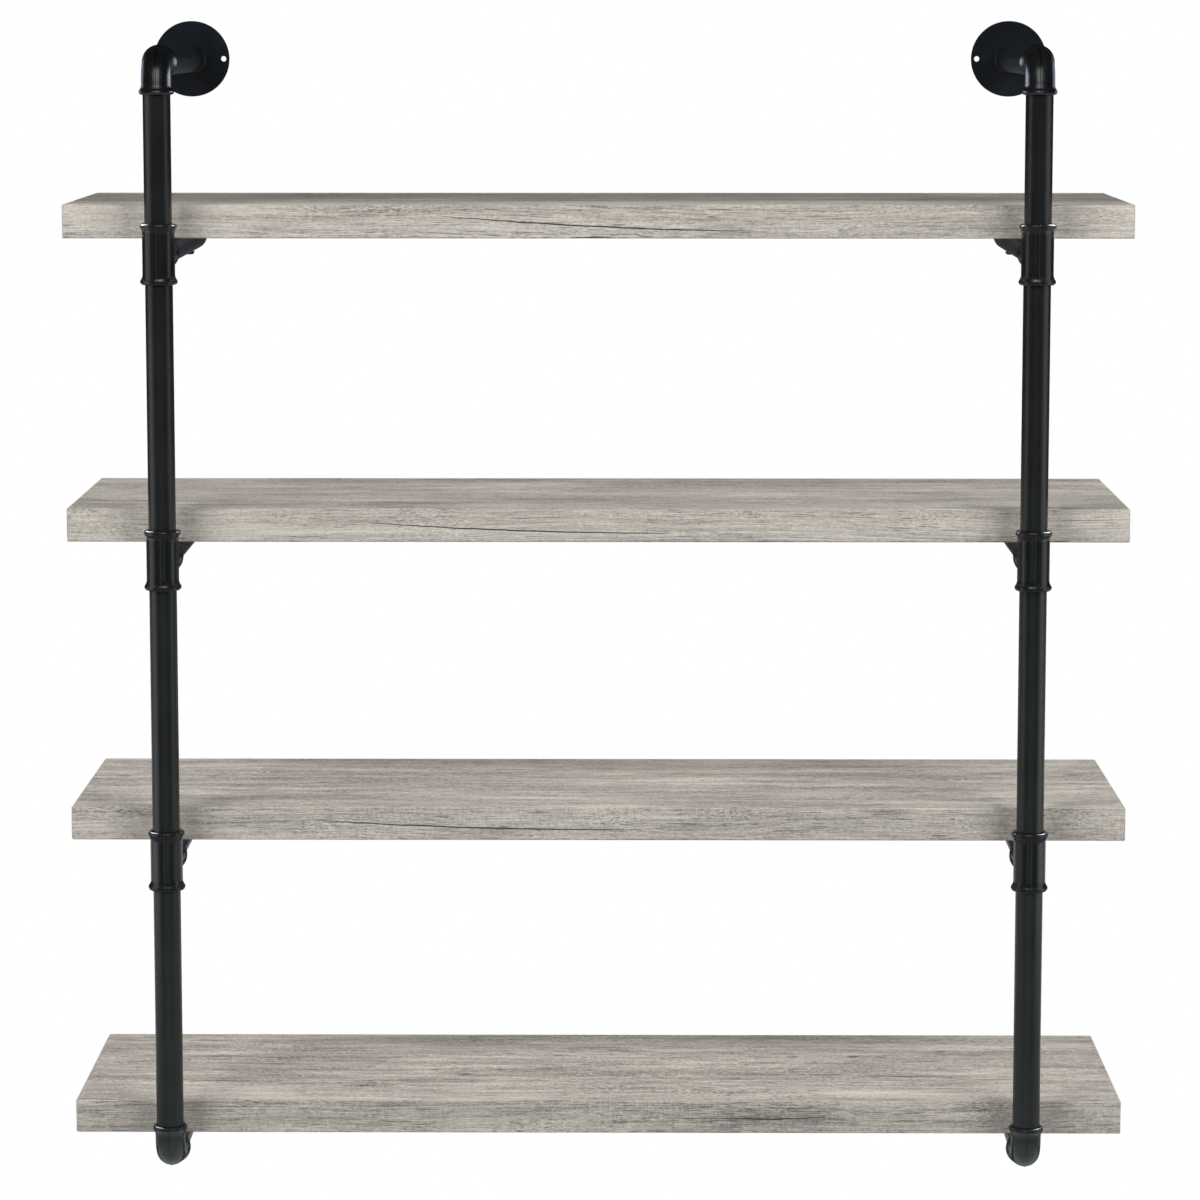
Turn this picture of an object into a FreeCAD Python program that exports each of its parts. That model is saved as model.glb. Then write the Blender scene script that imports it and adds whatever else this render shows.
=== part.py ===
import FreeCAD, Part
import math
import os

# Wall bookshelf: four wood-grain boards carried by two ladders of steel tube and cast fittings.
# Millimetres. X runs along the wall, +Y points into the wall and Z is up. The wall is the plane Y = 0.
# The origin lies on the wall, halfway between the two wall flanges. Left is the -X side.

# Boards
board_width = 1016.0
board_depth = 254.0
board_thickness = 32.0
board_edge_break = 0.8
board_to_wall = 27.0
board_to_fitting = 1.0

# Frame layout
shelf_count = 4
shelf_pitch = 290.0
flange_to_first_arm = 179.0
board_overhang = 95.0

# Steel tube
tube_od = 26.0
tube_wall = 2.0

# Cast fittings: a port is a body that flares out to a rolled bead, with a socket in its mouth.
# Walls are measured round the sockets, and a mouth stands out from the side of the body it leaves.
socket_depth = 13.0
socket_clearance = 0.15
socket_lead_in = 1.3
bead_roll_d = 5.7
bead_stand = 2.3
flare_radius = 9.0
seam_width = 1.2
seam_height = 0.4
tee_run_wall = 2.15
tee_branch_wall = 1.55
tee_mouth = 13.5
tee_crotch_fillet = 2.5
elbow_wall = 1.15
elbow_inner_radius = 2.7
elbow_mouth = 13.0

# Wall flanges
flange_od = 76.0
flange_thickness = 3.0
flange_rim_bevel = 0.6
flange_hole_to_rim = 5.7
flange_hole_d = 5.5
weld_leg = 1.5

# Pan head screws that hold the boards down on the arms
screw_d = 5.0
screw_head_d = 11.0
screw_crown_d = 7.0
screw_head_height = 3.0
screw_head_bulge = 0.35
screw_bite = 22.0
screw_tip = 5.0
screw_to_board_back = 20.0
screw_to_board_front = 45.0
arm_hole_clearance = 0.25
thread_clearance = 0.05

# Plastic plugs that close the arms where they meet the wall
plug_head = 2.0
plug_stem = 9.0
plug_clearance = 0.1

# One overrun serves every cut that has to break through a face
overrun = 1.0

# Places that follow from the sizes
tube_r = tube_od / 2
bore_r = tube_r - tube_wall
screw_r = screw_d / 2
socket_r = tube_r + socket_clearance
tee_run_od = 2 * (socket_r + tee_run_wall)
tee_branch_od = 2 * (socket_r + tee_branch_wall)
tee_reach = tee_run_od / 2 + tee_mouth
elbow_body_od = 2 * (socket_r + elbow_wall)
elbow_bend_radius = elbow_body_od / 2 + elbow_inner_radius
elbow_reach = elbow_bend_radius + elbow_mouth
flange_hole_r = flange_od / 2 - flange_hole_to_rim
frame_x = board_width / 2 - board_overhang
board_back_y = -board_to_wall
board_front_y = board_back_y - board_depth
frame_y = board_front_y - board_to_fitting - elbow_reach
screw_ys = [board_back_y - screw_to_board_back, board_front_y + screw_to_board_front]
frame_xs = {"left": -frame_x, "right": frame_x}
arm_zs = [-flange_to_first_arm - level * shelf_pitch for level in range(shelf_count)]

origin = FreeCAD.Vector(0, 0, 0)
across = FreeCAD.Vector(1, 0, 0)
to_wall = FreeCAD.Vector(0, 1, 0)
from_wall = -to_wall
up = FreeCAD.Vector(0, 0, 1)
down = -up


def line(start, end):
    return Part.LineSegment(start, end).toShape()


def arc(start, end, rise):
    """An arc in the XZ plane whose middle stands a rise further from the Z axis than its chord."""
    chord = end - start
    outward = FreeCAD.Vector(abs(chord.z), 0, -chord.x if chord.z > 0 else chord.x).normalize()
    middle = (start + end) / 2 + outward * rise
    return Part.Arc(start, middle, end).toShape()


def swing(centre, start, end):
    """The shorter arc about a centre, between two points at one distance from it."""
    halfway = (start - centre + end - centre).normalize() * (start - centre).Length
    return Part.Arc(start, centre + halfway, end).toShape()


def turned(edges):
    """The solid that a closed outline in the XZ plane makes when it is turned about Z."""
    return Part.Face(Part.Wire(edges)).revolve(origin, up, 360)


def rod(radius, length, start, direction):
    return Part.makeCylinder(radius, length, start, direction)


def aimed(shape, direction):
    """A copy of a shape made along +Z, turned to run along the direction."""
    copy = shape.copy()
    copy.Placement = FreeCAD.Placement(origin, FreeCAD.Rotation(up, direction))
    return copy


def moved(shape, place):
    copy = shape.copy()
    copy.translate(place)
    return copy


def tube(start, end):
    """Round steel tube between two points on its axis."""
    direction = (end - start).normalize()
    length = (end - start).Length
    return rod(tube_r, length, start, direction).cut(rod(bore_r, length, start, direction))


# Cast fittings, each made about the point where its axes cross

def port(inner_end, reach, body_od):
    """One solid port along +Z, from its inner end to its mouth: body, hollow flare and rolled bead."""
    body_r = body_od / 2
    roll_r = bead_roll_d / 2
    apart = roll_r + flare_radius
    flare_length = math.sqrt(apart ** 2 - (apart - bead_stand) ** 2)
    roll_centre = FreeCAD.Vector(body_r + bead_stand - roll_r, 0, reach - roll_r)
    flare_centre = FreeCAD.Vector(body_r + flare_radius, 0, roll_centre.z - flare_length)
    axis_in = FreeCAD.Vector(0, 0, inner_end)
    body_in = FreeCAD.Vector(body_r, 0, inner_end)
    flare_foot = flare_centre - across * flare_radius
    touch = roll_centre + (flare_centre - roll_centre).normalize() * roll_r
    lip = roll_centre + up * roll_r
    axis_out = FreeCAD.Vector(0, 0, reach)
    return turned([
        line(axis_in, body_in),
        line(body_in, flare_foot),
        swing(flare_centre, flare_foot, touch),
        swing(roll_centre, touch, lip),
        line(lip, axis_out),
        line(axis_out, axis_in),
    ])


def bend(radius, vertical):
    """A quarter bend of round section from the wall direction to the vertical one."""
    start = to_wall * elbow_bend_radius
    centre = start + vertical * elbow_bend_radius
    section = Part.Face(Part.Wire(Part.makeCircle(radius, start, to_wall)))
    return section.revolve(centre, across, -90 * vertical.z)


def tee_casting(growth):
    """Solid outside of a tee, grown all round but for its mouths, with its crotch filleted."""
    run = port(0, tee_reach, tee_run_od + 2 * growth)
    branch = port(0, tee_reach, tee_branch_od + 2 * growth)
    casting = run.fuse([aimed(run, down), aimed(branch, to_wall)]).removeSplitter()
    crotch = [edge for edge in casting.Edges if isinstance(edge.Curve, Part.BSplineCurve)]
    return casting.makeFillet(tee_crotch_fillet, crotch)


def elbow_casting(growth, vertical):
    """Solid outside of an elbow, grown all round but for its mouths."""
    mouth = port(elbow_bend_radius, elbow_reach, elbow_body_od + 2 * growth)
    body = bend(elbow_body_od / 2 + growth, vertical)
    return body.fuse([aimed(mouth, vertical), aimed(mouth, to_wall)]).removeSplitter()


def seam(grown, reach):
    """The parting line of the mould: a thin ridge round a casting, in the plane of its axes."""
    corner = FreeCAD.Vector(-seam_width / 2, -2 * reach, -2 * reach)
    return grown.common(Part.makeBox(seam_width, 4 * reach, 4 * reach, corner))


def socketed(casting, reach, directions):
    """Opens each mouth for a tube end, with a conical lead-in, down to the shoulder that it seats on."""
    hollow = casting
    for way in directions:
        shoulder = way * (reach - socket_depth)
        narrow = way * (reach - socket_lead_in)
        wide_r = socket_r + socket_lead_in + overrun
        lead_in = Part.makeCone(socket_r, wide_r, socket_lead_in + overrun, narrow, way)
        hollow = hollow.cut([rod(socket_r, socket_depth + overrun, shoulder, way), lead_in])
    return hollow


def tee():
    """The upright runs through a tee and the arm leaves it towards the wall."""
    ways = [up, down, to_wall]
    casting = tee_casting(0).fuse(seam(tee_casting(seam_height), tee_reach))
    hollow = casting.cut([rod(bore_r, tee_reach, origin, way) for way in ways])
    return socketed(hollow, tee_reach, ways)


def elbow(vertical):
    """An elbow turns the upright to the wall: below the wall tube, or at the lowest arm."""
    ways = [vertical, to_wall]
    casting = elbow_casting(0, vertical).fuse(seam(elbow_casting(seam_height, vertical), elbow_reach))
    straights = [rod(bore_r, elbow_reach, way * elbow_bend_radius, way) for way in ways]
    hollow = casting.cut([bend(bore_r, vertical)] + straights)
    return socketed(hollow, elbow_reach, ways)


# Tubes

def upright(x, top, top_reach, bottom, bottom_reach):
    """Upright between two fittings, seated on the shoulders of both."""
    start = FreeCAD.Vector(x, frame_y, top - top_reach + socket_depth)
    end = FreeCAD.Vector(x, frame_y, bottom + bottom_reach - socket_depth)
    return tube(start, end)


def top_tube(x):
    """Tube from its wall flange to the top elbow."""
    start = FreeCAD.Vector(x, -flange_thickness, 0)
    end = FreeCAD.Vector(x, frame_y + elbow_reach - socket_depth, 0)
    return tube(start, end)


def arm(x, arm_z, reach):
    """Arm from its fitting back to the plug at the wall, drilled through for the board's screws."""
    start = FreeCAD.Vector(x, frame_y + reach - socket_depth, arm_z)
    end = FreeCAD.Vector(x, -plug_head, arm_z)
    hole_r = screw_r + arm_hole_clearance
    below = arm_z - tube_r - overrun
    holes = [rod(hole_r, tube_od + 2 * overrun, FreeCAD.Vector(x, y, below), up) for y in screw_ys]
    return tube(start, end).cut(holes)


def plug(x, arm_z):
    """Plug with a head against the wall and a stem in the arm's bore."""
    wall_end = FreeCAD.Vector(x, 0, arm_z)
    stem = rod(bore_r - plug_clearance, plug_head + plug_stem, wall_end, from_wall)
    return rod(tube_r, plug_head, wall_end, from_wall).fuse(stem).removeSplitter()


# Flanges, screws and boards

def flange(x):
    """Round wall plate with a bevelled rim, two screw holes and the weld that holds its tube."""
    centre = FreeCAD.Vector(x, 0, 0)
    front = centre + from_wall * flange_thickness
    plate = rod(flange_od / 2, flange_thickness, centre, from_wall)
    rim = [edge for edge in plate.Edges if edge.Closed and edge.BoundBox.YMax < -flange_thickness / 2]
    plate = plate.makeChamfer(flange_rim_bevel, rim)
    weld = Part.makeCone(tube_r + weld_leg, tube_r, weld_leg, front, from_wall)
    plate = plate.fuse(weld.cut(rod(tube_r, weld_leg, front, from_wall)))
    inside = to_wall * overrun
    holes = [centre + across * side * flange_hole_r + inside for side in [-1, 1]]
    return plate.cut([rod(flange_hole_d / 2, flange_thickness + 2 * overrun, hole, from_wall) for hole in holes])


def screw():
    """Pan head screw pointing up, with the underside of its head at the origin."""
    crown = FreeCAD.Vector(0, 0, -screw_head_height)
    crown_edge = FreeCAD.Vector(screw_crown_d / 2, 0, -screw_head_height)
    head_edge = FreeCAD.Vector(screw_head_d / 2, 0, 0)
    shank_foot = FreeCAD.Vector(screw_r, 0, 0)
    shank_end = FreeCAD.Vector(screw_r, 0, tube_od + screw_bite - screw_tip)
    point = FreeCAD.Vector(0, 0, tube_od + screw_bite)
    return turned([
        line(crown, crown_edge),
        arc(crown_edge, head_edge, screw_head_bulge),
        line(head_edge, shank_foot),
        line(shank_foot, shank_end),
        line(shank_end, point),
        line(point, crown),
    ])


def pilot(x, y, arm_z):
    """The hole that a screw cuts in its board: shank and point, eased by the thread's clearance."""
    radius = screw_r + thread_clearance
    foot = FreeCAD.Vector(x, y, arm_z + tube_r - overrun)
    straight = overrun + screw_bite - screw_tip
    point = Part.makeCone(radius, 0, screw_tip + thread_clearance, foot + up * straight, up)
    return rod(radius, straight, foot, up).fuse(point)


def board(arm_z):
    """Board lying on its two arms, with its edges broken and its screw holes from below."""
    corner = FreeCAD.Vector(-board_width / 2, board_front_y, arm_z + tube_r)
    blank = Part.makeBox(board_width, board_depth, board_thickness, corner)
    eased = blank.makeChamfer(board_edge_break, blank.Edges)
    return eased.cut([pilot(x, y, arm_z) for x in frame_xs.values() for y in screw_ys])


def save(node, solids):
    """Writes one node: a single solid, or a group of separate identical ones."""
    shape = solids[0] if len(solids) == 1 else Part.makeCompound(solids)
    if not shape.isValid():
        raise ValueError(node + " is not a valid shape")
    shape.exportStep("parts/" + node + ".step")
    print(node, len(shape.Solids), "solids", round(shape.Volume), "mm3")


os.makedirs("parts", exist_ok=True)

top_elbow = elbow(down)
bottom_elbow = elbow(up)
middle_tee = tee()

# Each side's frame, from the wall flange down
for side, x in frame_xs.items():
    save(f"wall_flange_{side}", [flange(x)])
    save(f"top_tube_{side}", [top_tube(x)])
    save(f"top_elbow_{side}", [moved(top_elbow, FreeCAD.Vector(x, frame_y, 0))])
    above = 0
    above_reach = elbow_reach
    for level, arm_z in enumerate(arm_zs, start=1):
        lowest = level == shelf_count
        reach = elbow_reach if lowest else tee_reach
        fitting = bottom_elbow if lowest else middle_tee
        name = f"bottom_elbow_{side}" if lowest else f"tee_{side}_{level}"
        save(f"upright_{side}_{level}", [upright(x, above, above_reach, arm_z, reach)])
        save(name, [moved(fitting, FreeCAD.Vector(x, frame_y, arm_z))])
        save(f"arm_{side}_{level}", [arm(x, arm_z, reach)])
        above = arm_z
        above_reach = reach

# The boards with their screws, and the plugs at the wall
for level, arm_z in enumerate(arm_zs, start=1):
    save(f"shelf_board_{level}", [board(arm_z)])
    heads = [FreeCAD.Vector(x, y, arm_z - tube_r) for x in frame_xs.values() for y in screw_ys]
    save(f"board_screws_{level}", [moved(screw(), head) for head in heads])
save("arm_plugs", [plug(x, arm_z) for x in frame_xs.values() for arm_z in arm_zs])
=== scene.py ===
import math
import bmesh
import bpy
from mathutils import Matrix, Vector


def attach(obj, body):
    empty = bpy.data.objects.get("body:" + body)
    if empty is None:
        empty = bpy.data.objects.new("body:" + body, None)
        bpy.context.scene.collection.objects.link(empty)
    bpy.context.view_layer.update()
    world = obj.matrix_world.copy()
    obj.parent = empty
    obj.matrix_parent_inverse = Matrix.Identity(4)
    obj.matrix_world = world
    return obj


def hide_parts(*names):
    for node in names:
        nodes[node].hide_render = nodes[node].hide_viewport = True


# Looks of a wall bookshelf: grey driftwood boards on black pipe frames, in a white studio.
# Lengths are metres, except in the materials and the screw heads, where they are millimetres.

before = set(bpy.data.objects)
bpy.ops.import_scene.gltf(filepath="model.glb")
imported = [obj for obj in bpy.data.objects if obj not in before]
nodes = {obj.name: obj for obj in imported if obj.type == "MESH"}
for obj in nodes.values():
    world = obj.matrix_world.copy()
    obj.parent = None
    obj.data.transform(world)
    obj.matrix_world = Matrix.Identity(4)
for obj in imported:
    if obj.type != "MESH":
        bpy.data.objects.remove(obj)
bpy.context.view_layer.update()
sides = ("left", "right")
otherSide = {"left": "right", "right": "left"}
levels = (1, 2, 3, 4)  # shelves, from the top one down
teeLevels = levels[:3]  # the lowest shelf hangs on elbows
perMetre = 1000.0  # millimetres
print("frame loaded:", len(nodes), "nodes")


# Camera, at the photograph's angle
cameraLook = {
    "place": (0.0273, -4.0685, 0.0459),
    "down": 7.001,  # degrees below the horizon
    "turn": 0.384,  # degrees to the left of straight on
    "lens": 119.92,
    "sensor": 36.0,
    "shiftY": -0.08,
}


def makeCamera(look):
    data = bpy.data.cameras.new("studioCamera")
    data.lens = look["lens"]
    data.sensor_width = look["sensor"]
    data.shift_y = look["shiftY"]
    camera = bpy.data.objects.new("studioCamera", data)
    camera.location = look["place"]
    camera.rotation_euler = (math.radians(90 - look["down"]), 0, math.radians(look["turn"]))
    bpy.context.scene.collection.objects.link(camera)
    bpy.context.scene.camera = camera


makeCamera(cameraLook)
print("camera placed")


def addShape(name, shape):  # an object from a bmesh, which is freed
    mesh = bpy.data.meshes.new(name)
    shape.to_mesh(mesh)
    shape.free()
    thing = bpy.data.objects.new(name, mesh)
    bpy.context.scene.collection.objects.link(thing)
    return thing


# Shader sums
class Wire:  # one socket of a shader tree, with the sums that can be made on it
    def __init__(self, tree, socket=None):
        self.tree = tree
        self.socket = socket

    def node(self, kind, settings, inputs, output=0):  # any node: its settings first, then its sockets
        made = self.tree.nodes.new("ShaderNode" + kind)
        for name, value in settings.items():
            if name == "stops":
                setStops(made.color_ramp, value)
            else:
                setattr(made, name, value)
        feed(made, inputs)
        return Wire(self.tree, made.outputs[output])

    def sibling(self, name):  # another output of the same node
        return Wire(self.tree, self.socket.node.outputs[name])

    def calc(self, operation, *others):  # a Math node with this wire first
        return self.node("Math", {"operation": operation}, dict(enumerate((self, *others))))

    def after(self, operation, first):  # a Math node with this wire second
        return self.node("Math", {"operation": operation}, {0: first, 1: self})

    def vector(self, operation, other):
        return self.node("VectorMath", {"operation": operation}, {0: self, 1: other})

    def __add__(self, other):
        return self.calc("ADD", other)

    def __radd__(self, other):
        return self.after("ADD", other)

    def __sub__(self, other):
        return self.calc("SUBTRACT", other)

    def __rsub__(self, other):
        return self.after("SUBTRACT", other)

    def __mul__(self, other):
        return self.calc("MULTIPLY", other)

    def __rmul__(self, other):
        return self.after("MULTIPLY", other)

    def __truediv__(self, other):
        return self.calc("DIVIDE", other)

    def __rtruediv__(self, other):
        return self.after("DIVIDE", other)

    def __gt__(self, other):
        return self.calc("GREATER_THAN", other)

    def __lt__(self, other):
        return self.calc("LESS_THAN", other)

    def __abs__(self):
        return self.calc("ABSOLUTE")


def feed(node, values):  # links wires to a node's sockets and sets the other values on them
    for name, value in values.items():
        named = [socket for socket in node.inputs if name in (socket.identifier, socket.name)]
        socket = named[0] if named else node.inputs[name]
        if isinstance(value, Wire):
            value.tree.links.new(value.socket, socket)
        else:
            socket.default_value = value


def opaque(colour, shade=1.0):  # a colour for a socket, darkened or lightened by the shade
    return (*[part * shade for part in colour], 1.0)


def setStops(ramp, stops):
    while len(ramp.elements) < len(stops):
        ramp.elements.new(1.0)
    for element, (place, colour) in zip(ramp.elements, stops):
        element.position = place
        element.color = opaque(colour)


def step(value, low, high):  # 0 below low, 1 above high and smooth between
    ends = {"Value": value, "From Min": low, "From Max": high}
    return value.node("MapRange", {"interpolation_type": "SMOOTHSTEP"}, ends)


def sway(noise, amount):  # noise swung about 0, by half the amount each way
    return amount * (noise - 0.5)


def blendColours(share, first, second):
    colours = {"Factor_Float": share, "A_Color": first, "B_Color": second}
    return share.node("Mix", {"data_type": "RGBA"}, colours, "Result")


seedShift = (7.31, 3.17, 5.73)  # how far one step of the seed moves the noise


def cloud(at, size, detail, grit, seed, output=0):  # noise whose features are about size long
    spot = at.vector("DIVIDE", size).vector("ADD", [seed * part for part in seedShift])
    noise = {"Vector": spot, "Scale": 1.0, "Detail": detail, "Roughness": grit}
    return spot.node("TexNoise", {}, noise, output)


def newMaterial(name):  # the material, its shader and the point on the surface in millimetres
    material = bpy.data.materials.new(name)
    material.use_nodes = True
    tree = material.node_tree
    shader = tree.nodes["Principled BSDF"]
    place = Wire(tree).node("TexCoord", {}, {}, "Object").vector("MULTIPLY", (perMetre,) * 3)
    return material, shader, place


def relief(height, depth):  # a bump whose full height is depth millimetres
    bump = {"Strength": 1.0, "Distance": depth / perMetre, "Height": height}
    return height.node("Bump", {}, bump, "Normal")


# Driftwood laminate
woodLook = {
    "halfLength": 508.0,
    "thickness": 32.0,
    "frontY": -281.0,
    "onFace": 0.05,  # how deep a point still counts as on the front, top or underside
    "onEnd": 0.5,  # and on an end
    "endShift": 700.0,  # puts other figure on the ends than on the front
    "stops": [
        (0.0, (0.160, 0.148, 0.136)),
        (0.28, (0.302, 0.280, 0.252)),
        (0.50, (0.446, 0.412, 0.366)),
        (0.74, (0.560, 0.519, 0.462)),
        (1.0, (0.680, 0.638, 0.570)),
    ],
    "poreColour": (0.066, 0.059, 0.056),
    "splitColour": (0.026, 0.023, 0.022),
    "poreShare": 0.34,  # how far a pore takes its colour
    "creaseShare": 0.72,
    "coat": 0.35,
    "coatRoughness": 0.3,
    "flatSpread": 1.4,  # how much wider the figure is on tops and undersides than on edges
    "drift": 18.0,  # how far the grain wanders slowly
    "kink": 4.5,  # and quickly, where it is wild
    "calm": 0.15,  # how wild it is everywhere
    "wildFrom": (0.52, 0.66),  # over which part of its noise the wood turns wild
    "paleFrom": (0.52, 0.66),  # and pale
    # noise: length along the board, width across it, detail, grit and what it adds to the board's seed
    "clouds": {
        "drift": (320.0, 80.0, 1.0, 0.5, 0.1),
        "wild": (90.0, 26.0, 1.0, 0.5, 0.2),
        "kink": (11.0, 9.0, 1.0, 0.5, 0.3),
        "broad": (380.0, 30.0, 2.0, 0.5, 0.4),
        "band": (190.0, 8.5, 2.0, 0.6, 0.45),
        "streak": (130.0, 3.4, 3.0, 0.55, 0.5),
        "fibre": (32.0, 1.05, 2.0, 0.7, 0.6),
        "grit": (4.2, 0.8, 1.0, 0.6, 0.7),
        "hair": (150.0, 1.3, 1.0, 0.5, 1.5),
        "pale": (240.0, 22.0, 1.0, 0.5, 0.8),
        "crowd": (110.0, 12.0, 1.0, 0.5, 0.9),
        "saw": (1.3, 8.0, 1.0, 0.5, 1.2),
        "pore": (9.0, 0.8, 1.0, 0.5, 1.1),
        "lane": (80.0, 6.0, 1.0, 0.5, 1.3),
        "dash": (26.0, 1.7, 1.0, 0.5, 1.4),
        "wander": (30.0, 4000.0, 3.0, 0.6, 9.0),
    },
    # what sways the tone, how much, and how much more where the wood is flat, wild or pale
    "sways": {
        "broad": (0.50,),
        "streak": (0.40,),
        "fibre": (1.08, -0.12, "flat"),
        "band": (0.40, 0.35, "flat"),
        "grit": (0.85, 0.90, "wild"),
        "hair": (0.80, -0.25, "flat"),
        "saw": (0.34, 0.30, "pale"),
    },
    "tone": {"middle": 0.55, "pale": 0.09, "dark": -0.30, "flatBand": 0.16, "bandFrom": (0.56, 0.68)},
    # short dark strokes: what crowding and dark patches add to their noise, and where it starts to show
    "pore": {"crowd": 0.2, "dark": 0.12, "from": (0.61, 0.70)},
    "dash": {"crowd": 0.4, "dark": 0.12, "from": (0.56, 0.66)},
    # dashes show as creases in lanes along the grain; the line is where one fades out from its middle
    "lane": {"width": 2.3, "sway": 2.0, "line": (0.06, 0.2)},
    # a crack: how far it wanders, how it thins towards its ends and how soft its edge is
    "split": {"wander": 2.5, "taper": 0.45, "edge": (-0.12, 0.18), "least": 0.001},
    # a patch: where it ends, how ragged and how soft it is there, as shares of its half size
    "patch": {"reach": 1.3, "ragged": 1.1, "soft": 0.85},
    # plain wood is at the level; the figure lifts it or cuts into it, as shares of the depth
    "relief": {"depth": 0.22, "level": 0.6, "fibre": 0.3, "pore": 0.3, "crease": 0.3, "split": 0.7},
    "roughness": {"level": 0.56, "streak": 0.12, "pore": 0.10},
}
# Marks, and on some boards painted light and painted shade, are placed by face: x along the board, and v
# down from the top edge on a front, or back from the front edge on a top. "top" is the height of the board's
# top.
# splits: face, x, v, x, v, bow, half width, strength
# patches: face, x, v, half length, half width, darkness
boardLooks = {
    1: {
        "seed": 1.0,
        "top": -134.0,
        "splits": [
            ("front", -151, 10.5, 150, 24.6, 3.2, 0.66, 0.96),
            ("front", -26, 31.2, 26, 32.2, 0.0, 0.8, 1.0),
        ],
        # painted light and shade: the pale front patches at x -412 and 480 are painted light, the top patch
        # at v 160 is painted shade over the whole top, and the pale top patch at v 0 is a painted highlight
        # along its front edge
        "patches": [
            ("front", -412, 16, 145, 40, -0.52), ("front", 480, 16, 80, 40, -0.4),
            ("front", -150, 20, 110, 9, -0.3), ("top", 0, 160, 2000, 110, 1.0), ("top", 0, 0, 2000, 80, -0.5),
        ],
    },
    2: {
        "seed": 2.0,
        "top": -424.0,
        "splits": [
            ("front", -228, 12.4, 72, 23.2, 3.2, 0.66, 0.96),
            ("front", -300, 27.0, -262, 26.4, 0.5, 0.45, 0.6),
        ],
        # painted light: the pale front patches at x -420 and 480 brighten the front near the left tube and at
        # the right end
        "patches": [
            ("top", -190, 34, 62, 26, 0.55), ("front", -420, 16, 140, 40, -0.75),
            ("front", 480, 16, 80, 40, -0.3), ("front", 60, 20, 330, 10, -0.3),
        ],
    },
    3: {
        "seed": 3.0,
        "top": -714.0,
        "splits": [
            ("front", -275, 12.4, 45, 21.6, 3.0, 0.66, 0.96), ("front", -2, 22.6, 30, 23.4, 0.2, 0.4, 0.6),
            ("top", -396, 86, -341, 84, 0.0, 1.2, 0.5), ("top", -274, 84, -181, 88, 1.0, 1.4, 0.5),
            ("top", 340, 157, 360, 166, 0.0, 1.2, 0.4),
        ],
        # painted light: the pale front patch at x -440 brightens the front near the left tube
        "patches": [
            ("front", -450, 5, 26, 6, 0.5), ("front", -440, 18, 90, 40, -0.48),
            ("front", 278, 5, 24, 6, 0.45), ("top", -240, 27, 230, 9, -0.45),
            ("top", 334, 27, 60, 9, -0.45), ("top", -477, 159, 7, 5, 0.9),
            ("top", -388, 159, 7, 5, 0.9), ("top", -326, 180, 6, 5, 0.8),
            ("top", 475, 170, 8, 5, 0.9),
        ],
    },
    4: {
        "seed": 4.0,
        "top": -1004.0,
        "splits": [
            ("front", 116, 17.6, 222, 15.6, 1.2, 0.66, 0.96),
            ("top", -504, 229, -456, 228, 0.0, 1.6, 0.7), ("top", -424, 228, -373, 226, 0.0, 1.4, 0.6),
            ("top", -348, 160, -297, 158, 0.0, 1.6, 0.6), ("top", -407, 71, -334, 70, 1.0, 1.8, 0.6),
            ("top", -187, 54, -150, 53, 0.0, 1.6, 0.7), ("top", -98, 178, -82, 176, 0.0, 1.6, 0.6),
            ("top", -31, 202, 27, 201, 1.0, 1.4, 0.6), ("top", 54, 10.5, 135, 9.5, 0.0, 0.9, 0.6),
            ("top", 139, 143, 190, 142, 0.0, 1.6, 0.7), ("top", 252, 92, 352, 90, 1.0, 1.4, 0.6),
        ],
        "patches": [
            ("front", 110, 14, 130, 17, 0.55), ("front", -466, 4, 34, 4, 0.45),
            ("front", -350, 4, 56, 4, 0.45), ("front", -195, 4, 22, 3, 0.5),
            ("front", 366, 5, 28, 6, 0.6), ("top", -346, 20, 64, 13, -0.6),
            ("top", 290, 27, 105, 16, -0.6), ("top", -270, 140, 52, 5, -0.5),
            ("top", -225, 54, 26, 8, 0.5), ("top", 195, 167, 7, 6, 0.9),
            ("top", 257, 167, 7, 6, 0.9), ("top", 285, 165, 6, 5, 0.8),
            ("top", 347, 186, 7, 6, 0.9), ("top", -134, 96, 8, 6, 0.9),
        ],
    },
}


def woodCloud(at, name, seed=0.0, output=0):
    length, width, detail, grit, extra = woodLook["clouds"][name]
    return cloud(at, (length, width, width), detail, grit, seed + extra, output)


def bend(at, name, seed):  # a push along each axis, of up to a half either way
    return woodCloud(at, name, seed, "Color").vector("SUBTRACT", (0.5, 0.5, 0.5))


def boardPoint(place):  # x, y and z, and the point turned so that the ends have their figure along y
    x = place.node("SeparateXYZ", {}, {"Vector": place}, "X")
    y, z = x.sibling("Y"), x.sibling("Z")
    atEnd = abs(x) > woodLook["halfLength"] - woodLook["onEnd"]
    along = x + atEnd * (y + woodLook["endShift"] - x)
    across = y + atEnd * (x - y)
    return x, y, z, place.node("CombineXYZ", {}, {"X": along, "Y": across, "Z": z})


def grainPoint(at, flat, wild, seed):  # where the figure is read: bent, and spread on the flats
    drift = bend(at, "drift", seed).vector("MULTIPLY", (0.0, woodLook["drift"], woodLook["drift"]))
    reach = wild * woodLook["kink"]
    reach = reach.node("CombineXYZ", {}, {"X": 0.0, "Y": reach, "Z": reach})
    kink = bend(at, "kink", seed).vector("MULTIPLY", reach)
    spread = 1 + woodLook["flatSpread"] * flat
    spread = spread.node("CombineXYZ", {}, {"X": 1.0, "Y": spread, "Z": spread})
    return at.vector("ADD", drift).vector("ADD", kink).vector("DIVIDE", spread)


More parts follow.
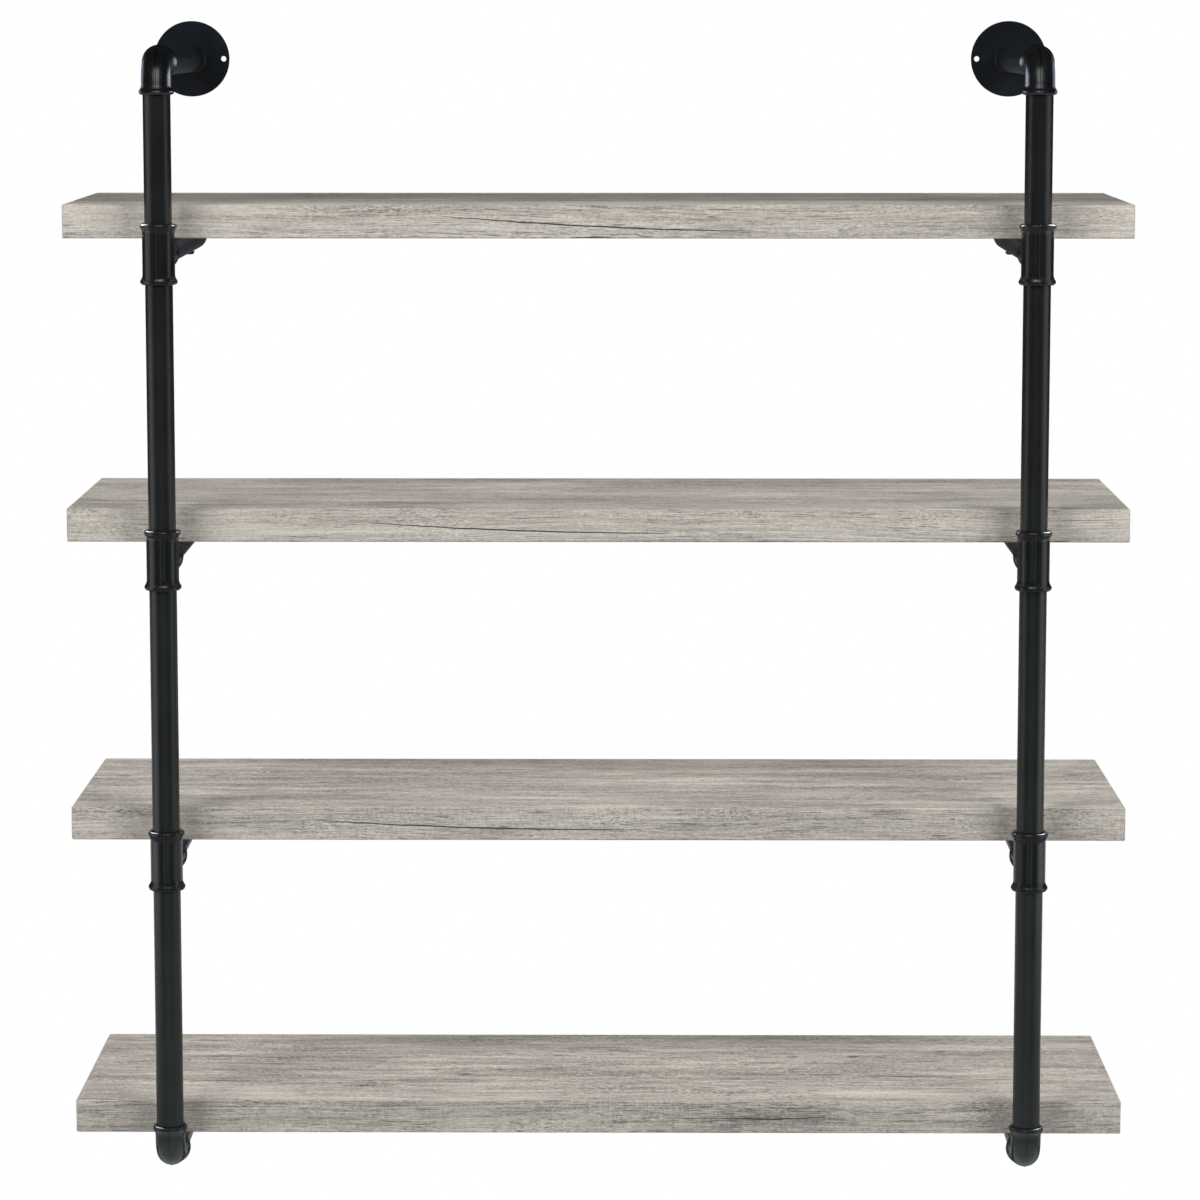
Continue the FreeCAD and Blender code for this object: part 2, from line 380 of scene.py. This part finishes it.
def split(at, x, v, line):  # 1 inside a hairline crack that thins to nothing at both ends
    x0, v0, x1, v1, bow, halfWidth, strength = line
    look = woodLook["split"]
    share = (x - x0) / (x1 - x0)
    arch = 4 * share * (1 - share)  # 1 half-way along, and below 0 past the ends
    swell = arch.calc("MAXIMUM", 0.0)
    middle = v0 + (v1 - v0) * share + bow * swell + sway(woodCloud(at, "wander"), look["wander"])
    reach = swell.calc("POWER", look["taper"]) * halfWidth
    return strength * step(reach - abs(v - middle), *look["edge"]) * (swell > look["least"])


def patch(x, v, ragged, spot):  # how dark a soft ragged patch is at a point; below 0 where it is pale
    x0, v0, halfLength, halfWidth, darkness = spot
    look = woodLook["patch"]
    offX = (x - x0) / halfLength
    offV = (v - v0) / halfWidth
    far = (offX * offX + offV * offV).calc("SQRT")
    return darkness * step(look["reach"] - far + sway(ragged, look["ragged"]), 0.0, look["soft"])


def strokes(name, grain, crowd, dark, seed):  # 1 on a stroke, with more of them where it is crowded
    look = woodLook[name]
    shows = woodCloud(grain, name, seed) + sway(crowd, look["crowd"]) + look["dark"] * dark
    return step(shows, *look["from"])


def lanes(grain, seed):  # thin wavering lines along the grain, side by side
    look = woodLook["lane"]
    y = grain.node("SeparateXYZ", {}, {"Vector": grain}, "Y")
    lane = (y + y.sibling("Z")) / look["width"] + look["sway"] * woodCloud(grain, "lane", seed)
    return 1 - step(abs(lane.calc("FRACT") - 0.5), *look["line"])


def driftwood(level):
    wood = boardLooks[level]
    seed = wood["seed"]
    material, shader, place = newMaterial(f"driftwood{level}")
    x, y, z, at = boardPoint(place)
    onFront = y < woodLook["frontY"] + woodLook["onFace"]
    onTop = z > wood["top"] - woodLook["onFace"]
    flat = onTop + (z < wood["top"] - woodLook["thickness"] + woodLook["onFace"])
    calm = woodLook["calm"]
    wild = calm + (1 - calm) * step(woodCloud(at, "wild", seed), *woodLook["wildFrom"])
    pale = step(woodCloud(at, "pale", seed), *woodLook["paleFrom"])
    crowd = woodCloud(at, "crowd", seed)
    grain = grainPoint(at, flat, wild, seed)
    figure = {}
    for name in woodLook["sways"]:
        figure[name] = woodCloud(at if name == "saw" else grain, name, seed)  # saw marks run straight

    faces = {"front": (onFront, wood["top"] - z), "top": (onTop, y - woodLook["frontY"])}
    gap, dark = 0.0, 0.0
    for face, *line in wood["splits"]:
        here, v = faces[face]
        gap = (here * split(at, x, v, line)).calc("MAXIMUM", gap)
    # the patches darken or pale the wood: most are its own marks, a few are painted light and painted shade
    for face, *spot in wood["patches"]:
        here, v = faces[face]
        dark = dark + here * patch(x, v, figure["streak"], spot)
    pore = strokes("pore", grain, crowd, dark, seed)
    crease = lanes(grain, seed) * strokes("dash", grain, crowd, dark, seed)

    look = woodLook["tone"]
    masks = {"flat": flat, "wild": wild, "pale": pale}
    tone = look["middle"] + look["pale"] * pale + look["dark"] * dark
    for name, (amount, *more) in woodLook["sways"].items():
        if more:
            extra, mask = more
            amount = amount + extra * masks[mask]
        tone = tone + sway(figure[name], amount)
    tone = tone + look["flatBand"] * flat * step(figure["band"], *look["bandFrom"])
    colour = tone.node("ValToRGB", {"stops": woodLook["stops"]}, {"Fac": tone})
    colour = blendColours(pore * woodLook["poreShare"], colour, opaque(woodLook["poreColour"]))
    colour = blendColours(crease * woodLook["creaseShare"], colour, opaque(woodLook["poreColour"]))
    colour = blendColours(gap, colour, opaque(woodLook["splitColour"]))

    look = woodLook["relief"]
    height = look["level"] + sway(figure["fibre"], look["fibre"])
    height = height - look["pore"] * pore - look["crease"] * crease - look["split"] * gap
    normal = relief(height, look["depth"])
    look = woodLook["roughness"]
    roughness = look["level"] + sway(figure["streak"], look["streak"]) + look["pore"] * pore
    feed(shader, {"Base Color": colour, "Roughness": roughness, "Normal": normal})
    feed(shader, {"Coat Weight": woodLook["coat"], "Coat Roughness": woodLook["coatRoughness"]})
    return material


# Black paint on tubes and castings. Peel and lump are the size and depth of its fine and broad
# unevenness. A crest is the colour of a casting's moulding line: paler on the tees as a painted highlight,
# darker on the elbows.
paintLook = {
    "tube": {
        "colour": (0.0086, 0.0096, 0.0108), "roughness": 0.33,
        "peel": (0.9, 0.015), "lump": (14.0, 0.03),
    },
    # painted light: the tube paint made bluer and a little lighter for the top tubes
    "stubPaintedLight": {
        "colour": (0.0095, 0.0116, 0.0156), "roughness": 0.36,
        "peel": (0.9, 0.015), "lump": (14.0, 0.03),
    },
    "disc": {
        "colour": (0.0068, 0.0084, 0.0112), "roughness": 0.40,
        "peel": (0.8, 0.020), "lump": (16.0, 0.03),
    },
    "casting": {
        "colour": (0.0084, 0.0094, 0.0106), "roughness": 0.22, "crest": (0.015, 0.017, 0.019),
        "peel": (1.6, 0.008), "lump": (7.0, 0.08),
    },
    # painted shade: a darker copy of the casting paint for the top elbows
    "elbow": {
        "colour": (0.0052, 0.0058, 0.0068), "roughness": 0.27, "crest": (0.002, 0.002, 0.002),
        "peel": (1.6, 0.008), "lump": (7.0, 0.06),
    },
    # painted light: a lighter, cooler copy of the casting paint for the bottom elbows
    "lowElbowPaintedLight": {
        "colour": (0.0100, 0.0114, 0.0122), "roughness": 0.30, "crest": (0.002, 0.002, 0.002),
        "peel": (1.6, 0.012), "lump": (7.0, 0.06),
    },
    "screw": {
        "colour": (0.0150, 0.0150, 0.0160), "roughness": 0.34,
        "peel": (0.4, 0.010), "lump": (3.0, 0.01),
    },
    "plug": {
        "colour": (0.0180, 0.0180, 0.0190), "roughness": 0.52,
        "peel": (0.5, 0.012), "lump": (5.0, 0.02),
    },
}
coatLook = {  # what all the paints share
    # noise: detail, grit and seed
    "peel": (2.0, 0.5, 1.0),
    "lump": (2.0, 0.5, 2.0),
    "mottle": (3.0, 0.6, 3.0),
    "run": (2.0, 0.6, 4.0),
    "mottleSize": 60.0,
    "mottleFrom": (0.3, 0.7),
    "shades": (0.8, 1.25),  # the darkest and the lightest, as shares of the colour
    "mottleRoughness": 0.10,
    "peelRoughness": 0.06,
    "runSize": (1.1, 1.1, 26.0),  # runs down a casting
    "runDepth": 0.05,
    "runRoughness": 0.12,
}
seamLook = {  # the moulding line of a casting: a crest between two creases
    "frameX": 413.0,
    "crest": 0.5,  # from the line to where the crest ends
    "blur": 0.2,  # how softly it ends
    "crease": 0.95,  # from the line to the middle of a crease
    "halfWidth": 0.4,
    # the creases are darkened towards this colour: painted shade beside the moulding line
    "colour": (0.001, 0.001, 0.001),
    "paintedShade": 0.6,
    "depth": 0.12,
}


def paint(kind):
    look = paintLook[kind]
    material, shader, place = newMaterial(kind + "Paint")
    peelSize, peelDepth = look["peel"]
    lumpSize, lumpDepth = look["lump"]
    peel = cloud(place, (peelSize,) * 3, *coatLook["peel"])
    lump = cloud(place, (lumpSize,) * 3, *coatLook["lump"])
    mottle = cloud(place, (coatLook["mottleSize"],) * 3, *coatLook["mottle"])
    dark, light = [opaque(look["colour"], shade) for shade in coatLook["shades"]]
    colour = blendColours(step(mottle, *coatLook["mottleFrom"]), dark, light)
    height = peel * peelDepth + lump * lumpDepth  # in millimetres
    roughness = look["roughness"] + sway(mottle, coatLook["mottleRoughness"])
    roughness = roughness + sway(peel, coatLook["peelRoughness"])
    if "crest" in look:
        run = cloud(place, coatLook["runSize"], *coatLook["run"])
        x = place.node("SeparateXYZ", {}, {"Vector": place}, "X")
        fromSeam = abs(abs(x) - seamLook["frameX"])
        crestEnd, blur = seamLook["crest"], seamLook["blur"]
        # the crest colour: a painted highlight on the tees' moulding line, darker on the elbows
        crest = 1 - step(fromSeam, crestEnd - blur, crestEnd + blur)
        colour = blendColours(crest, colour, opaque(look["crest"]))
        halfWidth = seamLook["halfWidth"]
        # painted shade in the creases beside the moulding line, besides their bump
        crease = step(halfWidth - abs(fromSeam - seamLook["crease"]), 0.0, halfWidth)
        colour = blendColours(crease * seamLook["paintedShade"], colour, opaque(seamLook["colour"]))
        height = height + run * coatLook["runDepth"] - crease * seamLook["depth"]
        roughness = roughness + sway(run, coatLook["runRoughness"])
    feed(shader, {"Base Color": colour, "Roughness": roughness, "Normal": relief(height, 1.0)})
    return material


def dress(node, material):
    nodes[node].data.materials.clear()
    nodes[node].data.materials.append(material)


paints = {kind: paint(kind) for kind in paintLook}
for side in sides:
    dress(f"wall_flange_{side}", paints["disc"])
    dress(f"top_tube_{side}", paints["stubPaintedLight"])
    dress(f"top_elbow_{side}", paints["elbow"])
    dress(f"bottom_elbow_{side}", paints["lowElbowPaintedLight"])
    for level in levels:
        dress(f"upright_{side}_{level}", paints["tube"])
        dress(f"arm_{side}_{level}", paints["tube"])
    for level in teeLevels:
        dress(f"tee_{side}_{level}", paints["casting"])
for level in levels:
    dress(f"shelf_board_{level}", driftwood(level))
dress("arm_plugs", paints["plug"])
print("materials made")


# Cross recesses in the heads of the board screws, which face down under the arms
recessLook = {
    "spots": [(-413.0, -47.0), (-413.0, -236.0), (413.0, -47.0), (413.0, -236.0)],
    "mouth": 2.9,  # from the middle to the end of a slot at the face of the head
    "heel": 1.1,  # and at its bottom
    "halfWidth": 0.55,
    "depth": 2.1,
    "above": 1.0,  # how far the cutter stands out of the head
    "weld": 0.002,  # corners nearer than this become one
    "sharp": 30,  # degrees between two faces, from which their edge stays sharp
}


def slotBar(shape, spot, face, along):  # one tapered bar of a cross, across the head
    x0, y0 = spot
    look = recessLook
    half = look["halfWidth"]
    wider = (look["mouth"] - look["heel"]) / look["depth"] * look["above"]
    rows = []
    for z, reach in ((face - look["above"], look["mouth"] + wider), (face + look["depth"], look["heel"])):
        corners = []
        for u, v in ((-reach, -half), (reach, -half), (reach, half), (-reach, half)):
            x, y = (u, v) if along == "x" else (-v, u)
            corners.append(shape.verts.new(((x0 + x) / perMetre, (y0 + y) / perMetre, z / perMetre)))
        rows.append(corners)
    low, high = rows
    shape.faces.new(low[::-1])
    shape.faces.new(high)
    for i in range(4):
        j = (i + 1) % 4
        shape.faces.new((low[i], low[j], high[j], high[i]))


def slotCutter(face, along):  # the same bar of every cross on a level
    shape = bmesh.new()
    for spot in recessLook["spots"]:
        slotBar(shape, spot, face, along)
    return addShape("recess", shape)


def crossScrews(level):
    source = nodes[f"board_screws_{level}"].data
    face = min(corner.co.z for corner in source.vertices) * perMetre
    whole = bmesh.new()
    whole.from_mesh(source)
    bmesh.ops.remove_doubles(whole, verts=whole.verts, dist=recessLook["weld"] / perMetre)
    screws = addShape(f"cross_screws_{level}", whole)
    cutters = [slotCutter(face, along) for along in ("x", "y")]
    for cutter in cutters:
        cut = screws.modifiers.new("recess", "BOOLEAN")
        cut.operation = "DIFFERENCE"
        cut.solver = "EXACT"
        cut.object = cutter
    graph = bpy.context.evaluated_depsgraph_get()
    cutMesh = bpy.data.meshes.new_from_object(screws.evaluated_get(graph))
    screws.modifiers.clear()
    screws.data = cutMesh
    cutMesh.shade_smooth()
    cutMesh.set_sharp_from_angle(angle=math.radians(recessLook["sharp"]))
    for cutter in cutters:
        bpy.data.objects.remove(cutter)
    cutMesh.materials.clear()
    cutMesh.materials.append(paints["screw"])
    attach(screws, "root")
    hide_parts(f"board_screws_{level}")
    return len(cutMesh.polygons)


print("screw faces:", [crossScrews(level) for level in levels])


# Studio: a pale floor, a white surround that only the camera sees, and softboxes
studioLook = {
    "glow": 0.02,  # what the surround gives as light
    "floorZ": -2.1,
    "floorRadius": 2.9,
    "floorSides": 128,
    "floorColour": (0.68, 0.68, 0.67),
    "floorShade": 0.96,  # its darker spots, as a share of the colour
    "mottleSize": 90.0,
    "mottle": (3.0, 0.5, 5.0),  # its noise: detail, grit and seed
    "floorRoughness": 0.6,
    "mottleRoughness": 0.1,
    "floorLift": 0.45,  # how far the camera sees the floor lifted towards white, at its middle
    "floorFade": (900.0, 2750.0),  # from here out it fades into the white surround
}
# A lamp lights without showing in the paint, a card only shows in it and a box does both.
# A pair is given as its left one. "on" names the only castings that a softbox acts on, and "off"
# the castings that it leaves out.
softboxes = {
    "key": {
        "kind": "lamp", "pair": True, "size": (2.0, 2.0), "power": 121.0,
        "place": (-2.3, -2.9, 1.9), "aim": (0.15, -0.25, -0.5),
    },
    "rear": {
        "kind": "lamp", "size": (2.6, 1.2), "power": 62.0,
        "place": (0.0, 2.6, 1.1), "aim": (0.0, -0.15, -0.6),
    },
    "edge": {
        "kind": "box", "pair": True, "off": "topElbows", "size": (0.6, 1.6), "power": 2.8,
        "place": (-1.15, -0.47, -0.2), "aim": (0.0, -0.47, -0.2),
    },
    "back": {
        "kind": "card", "size": (4.0, 1.4), "power": 1.2, "colour": (0.7, 0.88, 1.1),
        "place": (0.0, 3.4, -0.5), "aim": (0.0, 0.0, -0.5),
    },
    "lowBack": {
        "kind": "card", "size": (8.0, 1.1), "power": 14.0,
        "place": (0.0, 3.6, -2.0), "aim": (0.0, -0.3, -0.9),
    },
    "low": {
        "kind": "card", "pair": True, "size": (7.0, 1.3), "power": 13.0, "colour": (0.92, 1.0, 1.02),
        "place": (-3.2, 0.6, -1.75), "aim": (-0.4, 0.6, -0.9),
    },
    "lowFront": {
        "kind": "card", "size": (3.0, 1.5), "power": 4.4, "colour": (0.84, 1.0, 1.0),
        "place": (0.0, -4.0, -1.5), "aim": (0.0, -0.3, -0.9),
    },
    "under": {
        "kind": "card", "off": "tees", "size": (4.8, 4.4), "power": 50.0, "colour": (0.92, 1.0, 1.0),
        "place": (0.0, -1.2, -2.08), "aim": (0.0, -1.1, 0.0),
    },
    "underTees": {
        "kind": "card", "on": "tees", "size": (4.8, 4.4), "power": 17.0, "colour": (0.92, 1.0, 1.0),
        "place": (0.0, -1.2, -2.08), "aim": (0.0, -1.1, 0.0),
    },
    "rim": {
        "kind": "card", "pair": True, "on": "lowCastings", "size": (0.9, 1.25), "power": 82.0,
        "place": (-1.9, 1.3, 1.3), "aim": (-0.4, -0.3, -0.4),
    },
    "strip": {
        "kind": "card", "on": "lowCastings", "size": (1.8, 0.9), "power": 24.0,
        "place": (0.0, -1.9, 2.4), "aim": (0.0, -0.3, -0.5),
    },
    "front": {
        "kind": "card", "on": "topElbows", "size": (2.8, 3.2), "power": 105.0,
        "place": (0.0, -3.9, 1.2), "aim": (0.0, -0.3, -0.1),
    },
    "beside": {
        "kind": "card", "pair": True, "on": "nearElbow", "size": (1.2, 0.9), "power": 5.0,
        "colour": (0.88, 0.96, 1.2), "place": (-1.9, 0.9, 0.05), "aim": (-0.4, -0.3, 0.0),
    },
    "across": {
        "kind": "card", "pair": True, "on": "farElbow", "size": (1.6, 0.9), "power": 26.0,
        "colour": (0.9, 0.95, 1.15), "place": (-1.9, 0.9, 0.05), "aim": (0.4, -0.3, 0.0),
    },
}
white = (1.0, 1.0, 1.0)
tees = [f"tee_{side}_{level}" for side in sides for level in teeLevels]


def castings(group, side):  # the near elbow of a paired softbox is the one on its own side
    return {
        "tees": tees,
        "lowCastings": tees + [f"bottom_elbow_{each}" for each in sides],
        "topElbows": [f"top_elbow_{each}" for each in sides],
        "nearElbow": [f"top_elbow_{side}"],
        "farElbow": [f"top_elbow_{otherSide[side]}"],
    }[group]


def makeWorld(look):
    world = bpy.data.worlds.new("studioWorld")
    bpy.context.scene.world = world
    world.use_nodes = True
    tree = world.node_tree
    seen = Wire(tree).node("Background", {}, {"Color": opaque(white), "Strength": 1.0})
    glow = Wire(tree).node("Background", {}, {"Color": opaque(white), "Strength": look["glow"]})
    eye = Wire(tree).node("LightPath", {}, {}, "Is Camera Ray")
    both = eye.node("MixShader", {}, {0: eye, 1: glow, 2: seen})
    feed(tree.nodes["World Output"], {"Surface": both})


def makeFloor(look):
    shape = bmesh.new()
    bmesh.ops.create_circle(shape, cap_ends=True, segments=look["floorSides"], radius=look["floorRadius"])
    floor = addShape("studioFloor", shape)
    floor.location = (0, 0, look["floorZ"])
    floor.visible_glossy = False
    material, shader, place = newMaterial("paleFloor")
    mottle = cloud(place, (look["mottleSize"],) * 3, *look["mottle"])
    pale, deep = [opaque(look["floorColour"], shade) for shade in (1.0, look["floorShade"])]
    colour = blendColours(mottle, pale, deep)
    roughness = look["floorRoughness"] + look["mottleRoughness"] * mottle
    feed(shader, {"Base Color": colour, "Roughness": roughness})
    out = place.node("VectorMath", {"operation": "LENGTH"}, {0: place}, "Value")
    lift = look["floorLift"] + (1 - look["floorLift"]) * step(out, *look["floorFade"])
    eye = place.node("LightPath", {}, {}, "Is Camera Ray")
    plain = place.node("Emission", {}, {"Color": opaque(white), "Strength": 1.0})
    lit = Wire(place.tree, shader.outputs[0])
    both = place.node("MixShader", {}, {0: eye * lift, 1: lit, 2: plain})
    feed(place.tree.nodes["Material Output"], {"Surface": both})
    floor.data.materials.append(material)


def limitLight(light, names, state):  # lights these castings alone, or all but these
    group = bpy.data.collections.new(light.name + "Receivers")
    for name in names:
        group.objects.link(nodes[name])
    for member in group.collection_objects:
        member.light_linking.link_state = state
    light.light_linking.receiver_collection = group


def makeSoftbox(name, look, side):  # the right one of a pair mirrors what the look gives
    mirror = Vector((-1.0 if side == "right" else 1.0, 1.0, 1.0))
    place = Vector(look["place"]) * mirror
    aim = Vector(look["aim"]) * mirror
    data = bpy.data.lights.new(name, "AREA")
    data.shape = "RECTANGLE"
    data.size, data.size_y = look["size"]
    data.energy = look["power"]
    data.color = look.get("colour", white)
    light = bpy.data.objects.new(name, data)
    light.location = place
    light.rotation_euler = (aim - place).to_track_quat("-Z", "Y").to_euler()
    light.visible_camera = False
    light.visible_diffuse = look["kind"] != "card"
    light.visible_glossy = look["kind"] != "lamp"
    if "on" in look:
        limitLight(light, castings(look["on"], side), "INCLUDE")
    if "off" in look:
        limitLight(light, castings(look["off"], side), "EXCLUDE")
    bpy.context.scene.collection.objects.link(light)


makeWorld(studioLook)
makeFloor(studioLook)
for name, look in softboxes.items():
    if look.get("pair"):
        for side in sides:
            makeSoftbox(name + side.title(), look, side)
    else:
        makeSoftbox(name, look, "left")
bpy.context.scene.view_settings.view_transform = "Standard"
print("studio lit")
